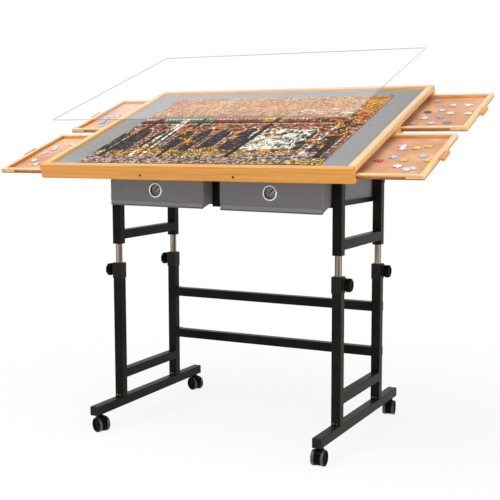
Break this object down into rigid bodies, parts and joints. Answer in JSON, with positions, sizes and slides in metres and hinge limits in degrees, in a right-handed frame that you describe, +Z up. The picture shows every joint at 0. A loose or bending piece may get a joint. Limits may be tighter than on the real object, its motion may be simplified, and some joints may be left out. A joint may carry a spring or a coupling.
{
  "type": "jigsaw puzzle table",
  "caption": "Tilting jigsaw puzzle table with sliding drawers, a lift-off clear cover and fabric bins, on a height-adjustable wheeled steel frame.",
  "frame": {"origin": "on the floor, midway between the feet", "axes": "+X to the right of a person sitting at the table, -Y towards that person, +Z up"},
  "size_m": [1.218, 0.6416, 1.0409],
  "materials": {
    "black_steel": "satin powder coat",
    "bright_steel": "zinc plated",
    "chrome": "nickel plated",
    "black_plastic": "matte",
    "wheel_rubber": "satin",
    "grey_fabric": "woven",
    "ring_metal": "polished",
    "pine": "clear varnish",
    "fibreboard": "plain",
    "felt": "felt",
    "card": "printed card",
    "clear_acrylic": "clear"
  },
  "bodies": {
    "base": {"foot_left": "black_steel", "foot_right": "black_steel", "foot_end_caps": "black_plastic", "lower_frame_left": "black_steel", "lower_frame_right": "black_steel", "upper_stretcher": "black_steel", "lower_stretcher": "black_steel", "frame_bolts": "bright_steel", "clamp_collars": "black_plastic"},
    "upper_frame": {"upper_frame_left": "black_steel", "upper_frame_right": "black_steel", "inner_tubes": "chrome", "tube_bushes": "black_plastic", "leg_caps": "black_plastic", "cross_rails": "black_steel", "bin_rails": "black_steel", "centre_hanger": "black_steel", "pivot_pins": "bright_steel"},
    "tabletop": {"front_rail": "pine", "rear_rail": "pine", "left_rail": "pine", "right_rail": "pine", "centre_rail": "pine", "work_panel": "fibreboard", "felt_mat": "felt", "base_panel": "fibreboard", "drawer_runners": "pine", "tilt_bars": "black_steel", "tilt_quadrants": "black_steel", "board_screws": "bright_steel", "puzzle": "card"},
    "cover": {"cover": "clear_acrylic"},
    "drawer_front_left": {"drawer_front_left": "pine", "drawer_handle_front_left": "pine"},
    "drawer_front_right": {"drawer_front_right": "pine", "drawer_handle_front_right": "pine"},
    "drawer_rear_left": {"drawer_rear_left": "pine", "drawer_handle_rear_left": "pine"},
    "drawer_rear_right": {"drawer_rear_right": "pine", "drawer_handle_rear_right": "pine"},
    "bin_left": {"bin_left": "grey_fabric", "bin_ring_left": "ring_metal"},
    "bin_right": {"bin_right": "grey_fabric", "bin_ring_right": "ring_metal"},
    "clamp_knob_front_left": {"clamp_knob_front_left": "black_plastic"},
    "clamp_knob_front_right": {"clamp_knob_front_right": "black_plastic"},
    "clamp_knob_rear_left": {"clamp_knob_rear_left": "black_plastic"},
    "clamp_knob_rear_right": {"clamp_knob_rear_right": "black_plastic"},
    "tilt_knob_left": {"tilt_knob_left": "black_plastic"},
    "tilt_knob_right": {"tilt_knob_right": "black_plastic"},
    "caster_fork_front_left": {"caster_fork_front_left": "black_plastic"},
    "caster_wheels_front_left": {"caster_wheels_front_left": "wheel_rubber"},
    "caster_fork_front_right": {"caster_fork_front_right": "black_plastic"},
    "caster_wheels_front_right": {"caster_wheels_front_right": "wheel_rubber"},
    "caster_fork_rear_left": {"caster_fork_rear_left": "black_plastic"},
    "caster_wheels_rear_left": {"caster_wheels_rear_left": "wheel_rubber"},
    "caster_fork_rear_right": {"caster_fork_rear_right": "black_plastic"},
    "caster_wheels_rear_right": {"caster_wheels_rear_right": "wheel_rubber"}
  },
  "joints": [
    {"name": "height_slide", "type": "slide", "parent": "base", "child": "upper_frame", "axis": [0, 0, 1], "range_m": [-0.053, 0.15]},
    {"name": "tilt", "type": "hinge", "parent": "upper_frame", "child": "tabletop", "pos_m": [0, -0.1495, 0.7451], "axis": [-1, 0, 0], "range_deg": [-6.25, 18.75]},
    {"name": "cover_lift", "type": "slide", "parent": "tabletop", "child": "cover", "axis": [0, 0.0613, 0.9981], "range_m": [-0.113, 0.15]},
    {"name": "drawer_front_left_slide", "type": "slide", "parent": "tabletop", "child": "drawer_front_left", "axis": [-1, 0, 0], "range_m": [-0.1505, 0.0995]},
    {"name": "drawer_front_right_slide", "type": "slide", "parent": "tabletop", "child": "drawer_front_right", "axis": [1, 0, 0], "range_m": [-0.1585, 0.0915]},
    {"name": "drawer_rear_left_slide", "type": "slide", "parent": "tabletop", "child": "drawer_rear_left", "axis": [-1, 0, 0], "range_m": [-0.1485, 0.1015]},
    {"name": "drawer_rear_right_slide", "type": "slide", "parent": "tabletop", "child": "drawer_rear_right", "axis": [1, 0, 0], "range_m": [-0.1675, 0.0825]},
    {"name": "bin_left_slide", "type": "slide", "parent": "upper_frame", "child": "bin_left", "axis": [0, -1, 0], "range_m": [0, 0.1]},
    {"name": "bin_right_slide", "type": "slide", "parent": "upper_frame", "child": "bin_right", "axis": [0, -1, 0], "range_m": [0, 0.1]},
    {"name": "clamp_knob_front_left_turn", "type": "hinge", "parent": "base", "child": "clamp_knob_front_left", "pos_m": [-0.3266, -0.1495, 0.4307], "axis": [-1, 0, 0], "range_deg": [0, 360]},
    {"name": "clamp_knob_front_right_turn", "type": "hinge", "parent": "base", "child": "clamp_knob_front_right", "pos_m": [0.3266, -0.1495, 0.4307], "axis": [1, 0, 0], "range_deg": [0, 360]},
    {"name": "clamp_knob_rear_left_turn", "type": "hinge", "parent": "base", "child": "clamp_knob_rear_left", "pos_m": [-0.3266, 0.1416, 0.4307], "axis": [-1, 0, 0], "range_deg": [0, 360]},
    {"name": "clamp_knob_rear_right_turn", "type": "hinge", "parent": "base", "child": "clamp_knob_rear_right", "pos_m": [0.3266, 0.1416, 0.4307], "axis": [1, 0, 0], "range_deg": [0, 360]},
    {"name": "tilt_knob_left_turn", "type": "hinge", "parent": "upper_frame", "child": "tilt_knob_left", "pos_m": [-0.3266, 0.1416, 0.7198], "axis": [-1, 0, 0], "range_deg": [0, 360]},
    {"name": "tilt_knob_right_turn", "type": "hinge", "parent": "upper_frame", "child": "tilt_knob_right", "pos_m": [0.3266, 0.1416, 0.7198], "axis": [1, 0, 0], "range_deg": [0, 360]},
    {"name": "caster_swivel_front_left", "type": "hinge", "parent": "base", "child": "caster_fork_front_left", "pos_m": [-0.3266, -0.258, 0.048], "axis": [0, 0, 1], "continuous": true},
    {"name": "caster_roll_front_left", "type": "hinge", "parent": "caster_fork_front_left", "child": "caster_wheels_front_left", "pos_m": [-0.31832, -0.26152, 0.0203], "axis": [0.3907, 0.9205, 0], "continuous": true},
    {"name": "caster_swivel_front_right", "type": "hinge", "parent": "base", "child": "caster_fork_front_right", "pos_m": [0.3266, -0.258, 0.048], "axis": [0, 0, 1], "continuous": true},
    {"name": "caster_roll_front_right", "type": "hinge", "parent": "caster_fork_front_right", "child": "caster_wheels_front_right", "pos_m": [0.32707, -0.26699, 0.0203], "axis": [0.9986, 0.0523, 0], "continuous": true},
    {"name": "caster_swivel_rear_left", "type": "hinge", "parent": "base", "child": "caster_fork_rear_left", "pos_m": [-0.3266, 0.258, 0.048], "axis": [0, 0, 1], "continuous": true},
    {"name": "caster_roll_rear_left", "type": "hinge", "parent": "caster_fork_rear_left", "child": "caster_wheels_rear_left", "pos_m": [-0.31832, 0.25448, 0.0203], "axis": [0.3907, 0.9205, 0], "continuous": true},
    {"name": "caster_swivel_rear_right", "type": "hinge", "parent": "base", "child": "caster_fork_rear_right", "pos_m": [0.3266, 0.258, 0.048], "axis": [0, 0, 1], "continuous": true},
    {"name": "caster_roll_rear_right", "type": "hinge", "parent": "caster_fork_rear_right", "child": "caster_wheels_rear_right", "pos_m": [0.32832, 0.24916, 0.0203], "axis": [0.9816, 0.1908, 0], "continuous": true}
  ]
}
